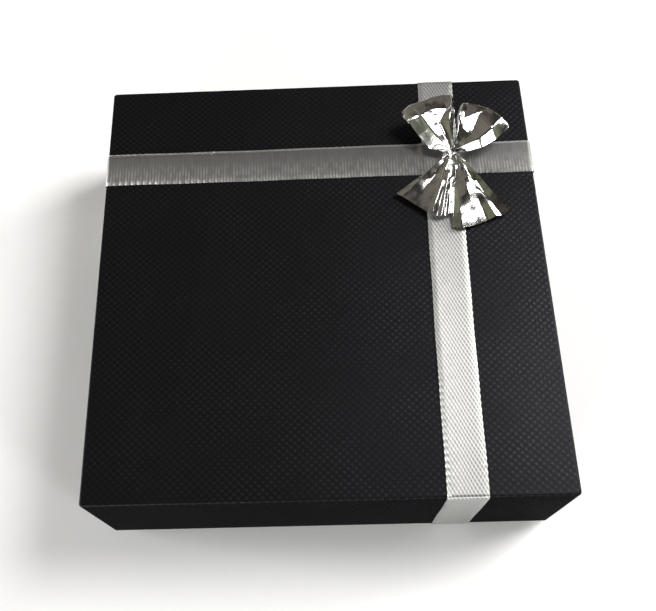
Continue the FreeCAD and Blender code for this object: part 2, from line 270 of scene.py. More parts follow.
def satin_ribbon(name, tone, gap_painted_shade, ribs):
    """Silver woven ribbon; U runs along it and V across it, both in metres. tone is how light it is,
    lattice how dark the painted shade in the gaps between its slanting floats is, and ribs how plain the
    ribs across are and how dark the painted shade towards its back edge is."""
    s = Shader(name)
    along, across, _ = s.split(s.coordinates.outputs["UV"])

    def streaks(along_size, across_size, seed=0.0):
        place = s.node(
            "ShaderNodeCombineXYZ",
            X=s.times(along, 1 / along_size),
            Y=s.times(across, 1 / across_size),
            Z=seed,
        )
        made = s.node("ShaderNodeTexNoise", Vector=place.outputs[0], Scale=1.0, Detail=2.0)
        return made.outputs["Fac"]

    strand = streaks(4 * MM, 0.11 * MM)
    weft = streaks(0.30 * MM, 5 * MM, seed=3.0)
    patch = s.noise(5 * MM, detail=2.0)
    turn_across = s.times(across, TAU / GRAIN_ACROSS)
    turn_along = s.times(along, TAU / GRAIN_ALONG)
    float_wave = s.math("COSINE", s.math("SUBTRACT", turn_across, turn_along))
    cross_wave = s.math("COSINE", s.math("ADD", turn_across, turn_along))
    gap = s.add(s.times(float_wave, FLOAT_SHARE), s.times(cross_wave, CROSS_SHARE))
    gap = s.span(gap, -0.55, 0.95)
    near_front = s.span(across, 2.4 * MM, -2.6 * MM)
    rib = s.span(s.wave(along, GRAIN_ALONG / 2), -0.9, 0.9)
    rib = s.times(rib, s.span(streaks(1.1 * MM, 2.2 * MM), 0.3, 0.65), near_front)

    def shade(red, green, blue):
        return rgb(tone * red, tone * green, tone * blue)

    colour = s.mix(strand, shade(0.55, 0.55, 0.535), shade(0.70, 0.705, 0.69))
    colour = s.mix(s.span(weft, 0.35, 0.7, 0.0, 0.55 * ribs), colour, shade(0.36, 0.355, 0.35))
    # Painted shade: the ribbon is painted darker towards its back edge (+V).
    back_painted_shade = s.math("MULTIPLY_ADD", near_front, -0.45 * ribs, 0.45 * ribs)
    colour = s.mix(back_painted_shade, colour, shade(0.26, 0.26, 0.255))
    colour = s.mix(s.times(patch, 0.3), colour, shade(0.45, 0.44, 0.42))
    # Painted shade: the gaps between the floats are painted darker.
    colour = s.mix(s.times(gap, gap_painted_shade), colour, shade(0.13, 0.13, 0.128))
    colour = s.mix(s.times(rib, 0.95 * ribs), colour, shade(1.15, 1.15, 1.12))
    half = RIBBON_WIDE / 2
    bright_edge = s.span(across, half - 0.5 * MM, half - 0.25 * MM)
    speck = s.span(s.wave(along, GRAIN_ALONG), 0.3, 0.95)
    speck = s.times(speck, s.span(streaks(2.3 * MM, 9 * MM, seed=7.0), 0.4, 0.6))
    speck = s.times(speck, s.span(across, 0.9 * MM - half, 0.3 * MM - half))
    colour = s.mix(s.times(s.add(bright_edge, speck), 0.6 * ribs), colour, shade(1.3, 1.3, 1.27))
    gloss = s.add(s.times(strand, 0.14), s.times(gap, 0.1), 0.42)
    tangent = s.node("ShaderNodeTangent", {"direction_type": "UV_MAP"}).outputs[0]
    s.set(Base_Color=colour, Roughness=gloss, Metallic=0.75, Tangent=tangent)
    s.set(Anisotropic=0.9, Anisotropic_Rotation=0.25, Normal=s.bump(strand, 0.02 * MM))
    return s.material


def bow_foil():
    """Metallised film: a bright soft mirror, a little wavy between its folds."""
    s = Shader("bow_foil")
    swell = s.noise(4.5 * MM, detail=1.0, seed=0.3)
    crease = s.noise(1.1 * MM, detail=3.0, roughness=0.5)
    scuff = s.noise(0.5 * MM, detail=4.0, seed=0.7)
    colour = s.mix(scuff, rgb(0.70, 0.70, 0.69), rgb(0.80, 0.80, 0.79))
    gloss = s.span(scuff, 0.35, 0.8, 0.13, 0.19)
    normal = s.bump(crease, 0.010 * MM)
    normal = s.bump(swell, 0.42 * MM, normal=normal)
    s.set(Base_Color=colour, Metallic=1.0, Roughness=gloss, Normal=normal)
    return s.material


def tie_thread():
    s = Shader("tie_thread")
    ply = s.noise(0.15 * MM, detail=2.0)
    colour = s.mix(ply, rgb(0.45, 0.45, 0.44), rgb(0.75, 0.75, 0.73))
    s.set(Base_Color=colour, Metallic=0.6, Roughness=s.span(ply, 0.2, 0.8, 0.25, 0.45))
    s.set(Normal=s.bump(ply, 0.02 * MM))
    return s.material


def sticky_foam():
    s = Shader("sticky_foam")
    cells = s.noise(0.2 * MM, detail=3.0)
    colour = s.mix(cells, rgb(0.62, 0.62, 0.60), rgb(0.78, 0.78, 0.75))
    s.set(Base_Color=colour, Roughness=s.span(cells, 0.2, 0.8, 0.5, 0.7), Normal=s.bump(cells, 0.05 * MM))
    return s.material


def studio_floor():
    s = Shader("studio_floor")
    grain = s.noise(3 * MM, detail=4.0)
    s.set(Base_Color=s.mix(grain, grey(0.92), grey(0.95)), Roughness=s.span(grain, 0.2, 0.8, 0.7, 0.85))
    return s.material


MATERIALS = {
    "greyboard": greyboard(),
    "stay_tape": stay_tape(),
    "embossed_paper": embossed_paper(),
    "liner_paper": liner_paper(),
    "foam": foam(),
    "flock": flock(),
    "ribbon": satin_ribbon("satin_ribbon", tone=0.78, gap_painted_shade=0.75, ribs=0.15),
    "sticky_foam": sticky_foam(),
    "bow_foil": bow_foil(),
    "tie_thread": tie_thread(),
}


def dress_cad_nodes():
    """Each CAD node takes the material of its slot in the record."""
    for part in frame["record"]["subparts"]:
        node = frame["nodes"][part["node"]]
        node.data.materials.clear()
        node.data.materials.append(MATERIALS[part["material_slot"]])


# ---------------------------------------------------------------- mesh helpers


def smoothstep(value, low=0.0, high=1.0):
    t = np.clip((value - low) / (high - low), 0, 1)
    return t * t * (3 - 2 * t)


def grid_faces(rows, columns, wrap_rows=False, wrap_columns=False):
    """Quads of a grid of points numbered row by row."""
    r = np.arange(rows if wrap_rows else rows - 1)
    c = np.arange(columns if wrap_columns else columns - 1)
    r, c = np.meshgrid(r, c, indexing="ij")
    r2, c2 = (r + 1) % rows, (c + 1) % columns
    corners = [r * columns + c, r * columns + c2, r2 * columns + c2, r2 * columns + c]
    return np.stack(corners, -1).reshape(-1, 4)


def new_mesh(name, points, faces, uv=None):
    """A smooth mesh; uv holds one pair for each point."""
    mesh = bpy.data.meshes.new(name)
    mesh.from_pydata(np.asarray(points).reshape(-1, 3).tolist(), [], [list(map(int, f)) for f in faces])
    if uv is not None:
        layer = mesh.uv_layers.new(name="UVMap")
        corner = np.empty(len(mesh.loops), int)
        mesh.loops.foreach_get("vertex_index", corner)
        layer.data.foreach_set("uv", np.asarray(uv, float).reshape(-1, 2)[corner].ravel())
    mesh.shade_smooth()
    mesh.validate()
    return mesh


def add_piece(name, mesh, body, slot, replaces=(), material=None):
    """A new object on a CAD body, in the finish of a slot, in place of some CAD nodes."""
    piece = bpy.data.objects.new(name, mesh)
    bpy.context.scene.collection.objects.link(piece)
    mesh.materials.append(material or MATERIALS[slot])
    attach(piece, body)
    if replaces:
        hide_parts(*replaces)
    return piece


def thicken(piece, thickness):
    made = piece.modifiers.new("thickness", "SOLIDIFY")
    made.thickness = thickness
    made.offset = 0.0


def settle(piece):
    """Put the result of a piece's modifiers in its mesh."""
    whole = piece.evaluated_get(bpy.context.evaluated_depsgraph_get())
    mesh = bpy.data.meshes.new_from_object(whole)
    piece.modifiers.clear()
    mesh.name = piece.name
    piece.data = mesh


# ---------------------------------------------------------------- ribbons

STEP_ALONG, STEP_ACROSS = 0.16 * MM, 0.15 * MM
BACK_COLUMNS = 7  # across the plain back of a ribbon
EDGE_RADIUS = 0.6 * MM  # of the ribbon's middle where it turns over the lid's edge
RIM_RADIUS = 0.25 * MM
LID_INSIDE = 43.2 * MM  # half the clear width inside the lid's turned-in wrap
TUCK_TOP = 8.0 * MM  # height of a ribbon's end behind the rim
# How far the threads stand out, the beads along the selvedges too, and how far its edge and a fold dip.
WEAVE_DEPTH, BEAD_DEPTH, EDGE_DROP, FOLD_DEPTH = 0.035 * MM, 0.012 * MM, 0.06 * MM, 0.07 * MM
FOLD_AT = -LID_SIDE / 2 + 1.9 * MM  # a fold across the lengthwise ribbon, just behind the front edge
FOLD_REACH, PUCKER_REACH = 0.14 * MM, 1.5 * MM
PUCKER_GAIN = 2.6  # how much more the threads stand out in the middle of a pucker
RAMP = 1.3 * MM  # where the crosswise ribbon comes down beside the lengthwise one
SLANT = 0.2 * MM  # how much further back the crosswise ribbon is at its right end


def rounded_path(corners, radii, step):
    """Points along straight runs joined by arcs, about one step apart, with unit normals to the left."""
    corners = [np.array(c, float) for c in corners]
    points = []
    start = corners[0]
    for before, corner, after, radius in zip(corners, corners[1:], corners[2:], radii):
        into = (corner - before) / np.linalg.norm(corner - before)
        out = (after - corner) / np.linalg.norm(after - corner)
        turn = math.atan2(into[0] * out[1] - into[1] * out[0], into @ out)
        cut = radius * math.tan(abs(turn) / 2)
        first = corner - into * cut
        count = max(2, round(np.linalg.norm(first - start) / step))
        points += [start + (first - start) * k / count for k in range(count)]
        left = np.array([-into[1], into[0]]) * math.copysign(1, turn)
        centre = first + left * radius
        count = max(4, math.ceil(radius * abs(turn) / step))
        for k in range(count):
            angle = turn * k / count
            arm = first - centre
            spun = [
                arm[0] * math.cos(angle) - arm[1] * math.sin(angle),
                arm[0] * math.sin(angle) + arm[1] * math.cos(angle),
            ]
            points.append(centre + spun)
        start = corner + out * cut
    count = max(2, round(np.linalg.norm(corners[-1] - start) / step))
    points += [start + (corners[-1] - start) * k / count for k in range(count + 1)]
    points = np.array(points)
    run = np.gradient(points, axis=0)
    run /= np.linalg.norm(run, axis=1, keepdims=True)
    return points, np.stack([-run[:, 1], run[:, 0]], 1)


def ribbon_middle():
    """The middle line of a ribbon's thickness round the lid: (place across the lid, height)."""
    half = LID_SIDE / 2 + RIBBON_THICK / 2
    inner = LID_INSIDE - RIBBON_THICK / 2
    top, low = LID_TOP + RIBBON_THICK / 2, LID_LOW[2] - RIBBON_THICK / 2
    corners = [(inner, TUCK_TOP), (inner, low), (half, low), (half, top)]
    corners += [(-x, z) for x, z in reversed(corners)]
    radii = [RIM_RADIUS, RIM_RADIUS, EDGE_RADIUS, EDGE_RADIUS, RIM_RADIUS, RIM_RADIUS]
    return rounded_path(corners, radii, STEP_ALONG)


def slanting_weave(across, along):
    """The woven face: steep slanting floats with a gap between each pair, from about -1 to 1."""
    a, b = TAU * across / GRAIN_ACROSS, TAU * along / GRAIN_ALONG
    return -(FLOAT_SHARE * np.cos(a - b) + CROSS_SHARE * np.cos(a + b))


def ribbed_weave(across, along):
    """The woven face where it shows as ribs straight across, from about -1 to 1."""
    rib = np.cos(TAU * along / (GRAIN_ALONG / 2) + 0.35 * np.sin(TAU * across / (GRAIN_ACROSS * 3)))
    strong = smoothstep(-across, -2.0 * MM, 2.0 * MM)  # plainer ribs towards the front edge
    return rib * (0.15 + 0.35 * strong) * (0.7 + 0.3 * np.sin(along / (2.1 * MM)))


def make_ribbon(name, axis, centre, lift, weave_of, creases=(), puckers=()):
    """A woven band round the lid. axis is 0 where it runs along X and 1 along Y; centre(place) is its
    middle across the run, and lift(place) how far it rides up over what lies under it. creases are
    places along the top where it was once folded, and puckers those where its weave stands out."""
    middle, normal = ribbon_middle()
    run = np.concatenate([[0], np.cumsum(np.linalg.norm(np.diff(middle, axis=0), axis=1))])
    columns = round(RIBBON_WIDE / STEP_ACROSS) + 1
    share = np.linspace(-1, 1, columns)
    half = RIBBON_WIDE / 2
    on_top = smoothstep(middle[:, 1], LID_TOP - 0.5 * MM, LID_TOP)

    u, s = np.meshgrid(share * half, run, indexing="xy")
    swell = 0.5 + 0.5 * np.sin(s / (3.3 * MM)) * np.sin(s / (7.9 * MM) + 1.3)
    scallop = 0.05 * MM * swell * np.cos(TAU * s / GRAIN_ALONG + np.where(u > 0, 0.6, 2.4))
    sideways = u + np.sign(u) * scallop * smoothstep(np.abs(u), half - 0.7 * MM, half)
    sideways += 0.05 * MM * np.sin(s / (9 * MM)) + 0.03 * MM * np.sin(s / (2.7 * MM) + 1)
    edge = np.exp(-(((np.abs(u) - (half - 0.25 * MM)) / (0.2 * MM)) ** 2))
    gathered = np.ones(len(middle))
    for pucker in puckers:
        gathered += PUCKER_GAIN * np.exp(-(((middle[:, 0] - pucker) / PUCKER_REACH) ** 2)) * on_top
    weave = weave_of(u, s) * (1 - 0.7 * edge) * gathered[:, None]
    bead = edge * (0.75 + 0.25 * np.cos(TAU * s / (GRAIN_ALONG / 2)))
    ease = smoothstep(half - np.abs(u), 0, 0.16 * MM)  # rounds the selvedge off
    relief = WEAVE_DEPTH * weave + BEAD_DEPTH * bead - EDGE_DROP * (1 - ease)
    for crease in creases:
        fold = np.exp(-(((middle[:, 0] - crease) / FOLD_REACH) ** 2)) * on_top
        relief = relief - FOLD_DEPTH * fold[:, None]

    def surface(offset, sideways):
        """Points at that offset from the middle line, against its normal."""
        place = middle[:, :1] - normal[:, :1] * offset
        height = middle[:, 1:] - normal[:, 1:] * offset
        height = height + (lift(middle[:, 0]) * on_top)[:, None]
        at = centre(np.clip(place, -LID_SIDE / 2, LID_SIDE / 2)) + sideways
        order = (place, at, height) if axis == 0 else (at, place, height)
        return np.stack(np.broadcast_arrays(*order), -1)

    rows = len(middle)
    face = surface(-(RIBBON_THICK / 2) - relief, sideways)
    back_share = np.linspace(1, -1, BACK_COLUMNS)
    back_u = np.broadcast_to(back_share * half, (rows, BACK_COLUMNS))
    back_s = np.broadcast_to(run[:, None], back_u.shape)
    back_side = sideways[:, np.round((back_share + 1) / 2 * (columns - 1)).astype(int)]
    back = surface(np.full(back_u.shape, RIBBON_THICK / 2 - 0.02 * MM), back_side)
    points = np.concatenate([face, back], 1)
    uv = np.concatenate([np.stack([s, u], -1), np.stack([back_s, back_u], -1)], 1)
    around = points.shape[1]
    faces = grid_faces(rows, around, wrap_columns=True).tolist()
    faces.append(list(range(around))[::-1])
    faces.append([(rows - 1) * around + k for k in range(around)])
    return new_mesh(name, points, faces, uv)


def make_ribbons():
    front_x = LONG_LOW[0] + RIBBON_WIDE / 2
    back_x = LONG_HIGH[0] - RIBBON_WIDE / 2
    cross_y = (CROSS_LOW[1] + CROSS_HIGH[1]) / 2

    def lengthwise_centre(place):
        return front_x + (back_x - front_x) * (place / LID_SIDE + 0.5)

    def crosswise_centre(place):
        return cross_y + SLANT * place / LID_SIDE

    crossing_x = lengthwise_centre(cross_y)

    def bridge(place):
        away = np.abs(place - crossing_x) - RIBBON_WIDE / 2
        return RIBBON_THICK * (1 - smoothstep(away, 0, RAMP))

    mesh = make_ribbon(
        "ribbon_lengthwise_woven", 1, lengthwise_centre, np.zeros_like, slanting_weave, creases=[FOLD_AT]
    )
    add_piece("ribbon_lengthwise_woven", mesh, "lid", "ribbon", ["ribbon_lengthwise"])
    beside = RIBBON_WIDE / 2 + RAMP / 2
    puckers = [crossing_x - beside, crossing_x + beside]
    mesh = make_ribbon(
        "ribbon_crosswise_woven", 0, crosswise_centre, bridge, ribbed_weave, puckers=puckers
    )
    # The crosswise ribbon is the same ribbon as the lengthwise one (tone 0.78); its lower tone of 0.56 is
    # painted shade, a darker copy of one material.
    ribbed = satin_ribbon("satin_ribbon_ribbed_shaded", tone=0.56, gap_painted_shade=0.0, ribs=0.85)
    add_piece("ribbon_crosswise_woven", mesh, "lid", "ribbon", ["ribbon_crosswise"], ribbed)


# ---------------------------------------------------------------- bow

# The foil's corners, in mm from the foot of the neck on the sticky dot: +X right, +Y back, +Z up.
# A loop's rows run from the neck up over its top, round its outer end and back underneath.
# Its columns run from its left side to its right one.
LEFT_LOOP = [
    [(-0.8, -0.1, 1.5), (-0.6, 0.2, 2.6), (-0.4, 0.3, 2.4), (-0.2, 0.4, 2.1),
     (0.0, 0.5, 2.4), (0.1, 0.5, 2.7), (0.3, 0.4, 1.6)],
    [(-4.6, 1.1, 1.5), (-3.0, 2.0, 4.0), (-2.0, 2.8, 4.1), (-1.5, 3.0, 3.8),
     (-0.9, 3.1, 3.9), (-0.3, 3.0, 4.3), (0.2, 2.8, 2.2)],
    [(-6.9, 3.5, 2.9), (-4.9, 4.1, 5.3), (-3.2, 5.5, 5.3), (-2.8, 6.0, 5.0),
     (-2.4, 5.9, 4.9), (-0.6, 5.6, 5.9), (0.4, 5.4, 3.4)],
    [(-9.0, 6.4, 4.1), (-6.5, 6.3, 6.4), (-4.7, 8.2, 5.9), (-2.8, 8.3, 5.6),
     (-0.8, 8.4, 5.2), (0.1, 8.6, 6.2), (1.0, 8.3, 4.2)],
    [(-10.2, 8.9, 3.9), (-8.7, 10.0, 4.7), (-6.4, 10.6, 5.0), (-4.1, 11.6, 5.0),
     (-1.7, 12.1, 5.0), (0.3, 12.4, 4.8), (1.0, 12.1, 4.0)],
    [(-9.6, 8.2, 2.1), (-8.2, 9.1, 1.9), (-6.0, 9.7, 2.0), (-3.9, 10.6, 2.0),
     (-1.7, 11.1, 2.0), (0.2, 11.3, 2.2), (0.8, 11.0, 2.5)],
    [(-0.8, -0.1, 0.9), (-0.6, 0.1, 0.8), (-0.4, 0.2, 0.7), (-0.2, 0.3, 0.7),
     (0.0, 0.3, 0.7), (0.1, 0.3, 0.8), (0.3, 0.2, 0.9)],
]
RIGHT_LOOP = [
    [(0.2, 0.5, 1.6), (0.3, 0.5, 2.7), (0.4, 0.5, 2.4), (0.5, 0.4, 2.1),
     (0.6, 0.2, 2.4), (0.7, 0.0, 2.7), (0.8, -0.3, 1.8)],
    [(0.8, 2.4, 2.2), (0.9, 2.5, 4.0), (1.4, 2.1, 3.6), (1.7, 1.8, 3.3),
     (2.1, 1.3, 3.4), (2.5, 0.5, 3.6), (2.7, -0.4, 2.2)],
    [(1.2, 4.6, 3.4), (1.3, 4.5, 5.4), (2.2, 3.6, 4.8), (3.1, 2.7, 4.4),
     (3.9, 2.6, 4.4), (5.5, 1.3, 4.8), (5.9, 0.1, 3.0)],
    [(1.3, 6.9, 4.0), (1.4, 6.5, 6.3), (2.3, 5.9, 5.3), (4.2, 6.6, 5.2),
     (5.8, 7.1, 5.0), (7.9, 3.1, 5.6), (9.0, 1.7, 3.4)],
    [(2.3, 10.0, 4.0), (2.9, 10.3, 4.5), (4.0, 9.9, 4.9), (6.3, 9.1, 5.0),
     (8.3, 8.1, 5.0), (10.5, 6.2, 4.8), (12.0, 4.6, 3.7)],
    [(2.2, 9.1, 2.3), (2.8, 9.3, 2.1), (3.8, 9.0, 2.0), (5.8, 8.2, 2.0),
     (7.6, 7.3, 2.0), (9.5, 5.6, 2.0), (11.1, 4.0, 2.1)],
    [(0.2, 0.2, 0.9), (0.3, 0.3, 0.8), (0.4, 0.3, 0.7), (0.5, 0.3, 0.7),
     (0.6, 0.2, 0.7), (0.7, 0.1, 0.8), (0.8, -0.2, 0.9)],
]

# A tail is a fan from the neck: where each of its rays ends, in mm, and the foil's height along
# the ray at these shares of its length.
TAIL_SHARES = (0.05, 0.22, 0.42, 0.62, 0.82, 1.0)
LEFT_TAIL = [
    ((-12.2, -8.7), (2.2, 1.6, 1.0, 0.6, 0.4, 0.2)),
    ((-11.2, -9.4), (2.2, 2.7, 2.2, 1.3, 0.7, 0.4)),
    ((-8.8, -11.2), (2.2, 2.0, 1.0, 0.9, 0.6, 0.3)),
    ((-6.0, -13.4), (2.2, 2.4, 1.7, 1.2, 0.7, 0.3)),
    ((-5.4, -14.0), (2.2, 2.2, 1.8, 1.6, 1.3, 0.8)),
    ((-4.3, -14.2), (2.2, 2.5, 1.9, 1.2, 0.8, 0.3)),
    ((-3.5, -14.4), (2.2, 2.3, 2.1, 1.6, 1.3, 0.8)),
    ((-2.6, -14.3), (2.2, 2.6, 2.0, 1.1, 0.8, 0.3)),
    ((-2.0, -14.1), (2.2, 2.35, 2.0, 1.7, 1.4, 0.9)),
    ((-0.7, -13.6), (2.2, 2.6, 2.1, 1.2, 0.8, 0.2)),
]
RIGHT_TAIL = [
    ((-1.2, -16.6), (2.2, 2.0, 1.3, 0.9, 0.3, -0.3)),
    ((0.5, -17.1), (2.2, 2.4, 1.6, 1.5, 1.2, 0.3)),
    ((2.2, -16.8), (2.2, 2.3, 1.9, 1.7, 1.0, 0.1)),
    ((3.9, -16.2), (2.2, 2.5, 2.3, 1.95, 0.8, -0.2)),
    ((6.0, -15.4), (2.2, 2.2, 2.5, 1.8, 0.5, -0.1)),
    ((7.6, -14.9), (2.2, 2.5, 1.7, 1.6, 1.3, 0.8)),
    ((8.6, -14.5), (2.2, 2.3, 2.0, 0.9, 0.5, 0.1)),
    ((10.4, -13.7), (2.2, 2.8, 2.4, 1.7, 1.1, 0.5)),
]
FOIL = 0.03 * MM  # its thickness
LOOP_CREASE, TAIL_CREASE = 0.55, 0.78  # from 0, a round bend, to 1, a sharp fold
SHARP_FOLD = math.radians(50)
NECK_PLEATS, PLEAT_STEPS = 9, 4  # pleats round the neck, and grid steps in each
PLEAT_DEPTH, PLEAT_TWIST = 0.14, 0.5  # mm, and radians for each mm up the neck
NECK_HEIGHTS = (0.0, 0.25, 0.4, 0.6, 1.1, 1.8, 2.3)  # mm above the dot, the tie round the third
NECK_RADII = (0.85, 0.78, 0.72, 0.78, 0.85, 0.8, 0.45)


def foil_mesh(name, grids, fold):
    """Grids of corners, in mm from the bow's foot, as one mesh whose every edge is creased by fold."""
    points, faces, first = [], [], 0
    for grid in grids:
        grid = np.array(grid, float)
        points.append(grid.reshape(-1, 3) * MM + BOW_AT)
        faces.append(grid_faces(*grid.shape[:2]) + first)
        first += len(points[-1])
    mesh = new_mesh(name, np.concatenate(points), np.concatenate(faces))
    crease = mesh.attributes.new("crease_edge", "FLOAT", "EDGE")
    crease.data.foreach_set("value", [fold] * len(mesh.edges))
    return mesh


def fan_grid(rays):
    """The grid of a tail, row by row from the neck."""
    return [[(x * share, y * share, z[row]) for (x, y), z in rays] for row, share in enumerate(TAIL_SHARES)]


def neck_grid():
    """The foil gathered into pleats round the neck, from the dot up to where the loops leave it."""
    count = NECK_PLEATS * PLEAT_STEPS
    grid = []
    for height, radius in zip(NECK_HEIGHTS, NECK_RADII):
        row = []
        for k in range(count + 1):
            angle = TAU * k / count
            reach = radius + PLEAT_DEPTH * math.cos(NECK_PLEATS * angle + PLEAT_TWIST * height)
            row.append((reach * math.cos(angle), reach * math.sin(angle), height))
        grid.append(row)
    return grid


def add_foil(name, mesh, replaced=(), levels=4):
    """A piece of thin foil, smoothed between its folds."""
    piece = add_piece(name, mesh, "lid", "bow_foil", replaced)
    smooth = piece.modifiers.new("smooth", "SUBSURF")
    smooth.levels = smooth.render_levels = levels
    thicken(piece, FOIL)
    settle(piece)
    piece.data.set_sharp_from_angle(angle=SHARP_FOLD)


def make_bow():
    loops, tails = [LEFT_LOOP, RIGHT_LOOP], [fan_grid(LEFT_TAIL), fan_grid(RIGHT_TAIL)]
    add_foil("bow_loops_foil", foil_mesh("bow_loops_foil", loops, LOOP_CREASE), ["bow_loops"])
    add_foil("bow_tails_foil", foil_mesh("bow_tails_foil", tails, TAIL_CREASE), ["bow_tails"])
    add_foil("bow_neck_foil", foil_mesh("bow_neck_foil", [neck_grid()], LOOP_CREASE), levels=2)


def make_tie():
    """Two twisted plies wound round the neck, with two short cut ends."""
    low, high = (np.array(c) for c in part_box("bow_tie"))
    middle = (low + high) / 2
    turns, twists = 2.5, 26
    ply_radius, wind_radius = 0.10 * MM, 1.12 * MM
    rise = (high[2] - low[2] - 4 * ply_radius) / turns
    steps, sides = 300, 8
    share = np.linspace(0, 1, steps)
    angle = TAU * turns * share
    loose = 1 + 0.25 * smoothstep(np.abs(share - 0.5), 0.46, 0.5)  # the cut ends stand off the neck
    centre = np.stack([wind_radius * loose * np.cos(angle), wind_radius * loose * np.sin(angle)], -1)
    height = rise * turns * (share - 0.5)
    points, faces = [], []
    for ply in (0.0, math.pi):
        spin = twists * TAU * share + ply
        outward = np.stack([np.cos(angle), np.sin(angle)], -1)
        at = centre + outward * (ply_radius * np.cos(spin))[:, None]
        level = height + ply_radius * np.sin(spin)
        for k in range(sides):
            round_ = TAU * k / sides
            ring = at + outward * ply_radius * math.cos(round_)
            points.append(np.stack([ring[:, 0], ring[:, 1], level + ply_radius * math.sin(round_)], -1))
    points = np.stack(points, 1) + middle
    both = points.reshape(steps, 2, sides, 3)
    flat = []
    for ply in range(2):
        first = ply * steps * sides
        flat.append(both[:, ply].reshape(-1, 3))
        faces += (grid_faces(steps, sides, wrap_columns=True) + first).tolist()
        faces.append([first + k for k in range(sides)][::-1])
        faces.append([first + (steps - 1) * sides + k for k in range(sides)])
    mesh = new_mesh("bow_tie_thread", np.concatenate(flat), faces)
    add_piece("bow_tie_thread", mesh, "lid", "tie_thread", ["bow_tie"])


# ---------------------------------------------------------------- insert

FOAM_LOW, FOAM_HIGH = (np.array(c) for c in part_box("foam_pad"))
FACING_LOW, FACING_HIGH = (np.array(c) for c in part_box("flocked_facing"))
FLOCK_THICK = 0.45 * MM
INSERT_CORNER = 1.6 * MM
RIM_ROUND = 1.3 * MM  # how far in from its edge the insert's top starts to fall
# How deep the foam falls at a slit's mouth and in the slit itself, and how far the sheet's lips go in.
MOUTH_DEPTH, SLIT_DEPTH, LIP_DEPTH = 3.4 * MM, 7.4 * MM, 2.3 * MM
SLIT_HALF = 0.6 * MM  # half a slit's width
# Each slit's length, middle and angle from +X, as the CAD cuts them.
SLITS = [
    (26 * MM, (0, -9 * MM), 0),
    (9 * MM, (-13 * MM, 12 * MM), 90),
    (9 * MM, (13 * MM, 12 * MM), 90),
    (12 * MM, (-29.15 * MM, 29.15 * MM), 45),
    (12 * MM, (29.15 * MM, 29.15 * MM), -45),
]
FINE, MEDIUM, COARSE = 0.22 * MM, 0.4 * MM, 1.0 * MM


def insert_lines(half, fine, medium):
    """Grid lines from -half to half, close together in the fine and medium spans."""
    lines = [-half]
    while lines[-1] < half:
        at = lines[-1]
        step = COARSE
        if any(low - COARSE <= at <= high for low, high in medium):
            step = MEDIUM
        if any(low - MEDIUM <= at <= high for low, high in fine):
            step = FINE
        lines.append(at + step)
    lines = np.array(lines)
    return (2 * lines - lines[-1] - lines[0]) * (half / (lines[-1] - lines[0]))


def slit_distance(x, y):
    """The distance from the middle line of the nearest slit."""
    best = np.full(x.shape, np.inf)
    for length, (mx, my), angle in SLITS:
        c, s = math.cos(math.radians(angle)), math.sin(math.radians(angle))
        along = (x - mx) * c + (y - my) * s
        across = (y - my) * c - (x - mx) * s
        past = np.maximum(np.abs(along) - (length / 2 - SLIT_HALF), 0)
        best = np.minimum(best, np.hypot(past, across))
    return best


def round_corners(x, y, half, radius):
    """A square grid pulled in at its corners, ring by ring, so that its outline has round ones."""
    ring = np.maximum(np.abs(x), np.abs(y))
    r = radius * ring / half
    dx, dy = np.abs(x) - (ring - r), np.abs(y) - (ring - r)
    corner = (dx > 0) & (dy > 0)
    length = np.where(corner, np.hypot(dx, dy), 1)
    scale = np.where(corner, np.maximum(dx, dy) / length, 1)
    rx = np.where(corner, ring - r + dx * scale, np.abs(x))
    ry = np.where(corner, ring - r + dy * scale, np.abs(y))
    return np.copysign(rx, x), np.copysign(ry, y)


def insert_grid(half):
    """A grid over the insert's top, fine at the slits and at the rim."""
    slit_x = [(-15 * MM, -11 * MM), (11 * MM, 15 * MM)]
    slit_y = [(-11 * MM, -7 * MM)]
    diagonal = [(-35 * MM, -23 * MM), (23 * MM, 35 * MM)]
    rim = [(-half, -half + 2.2 * MM), (half - 2.2 * MM, half)]
    ends = [(6 * MM, 9 * MM), (15 * MM, 18 * MM)]
    lines_x = insert_lines(half, slit_x, diagonal + rim)
    lines_y = insert_lines(half, slit_y, diagonal + rim + ends)
    x, y = np.meshgrid(lines_x, lines_y, indexing="xy")
    return round_corners(x, y, half, INSERT_CORNER)


def insert_swell(x, y, half):
    """How far the soft top stands below its highest level: crowned, and a little uneven."""
    crown = 0.16 * MM * ((x / half) ** 4 + (y / half) ** 4)
    uneven = 0.05 * MM * (np.sin(x / (6.1 * MM) + 0.8) * np.sin(y / (7.3 * MM) - 0.4) + 1)
    return crown + uneven


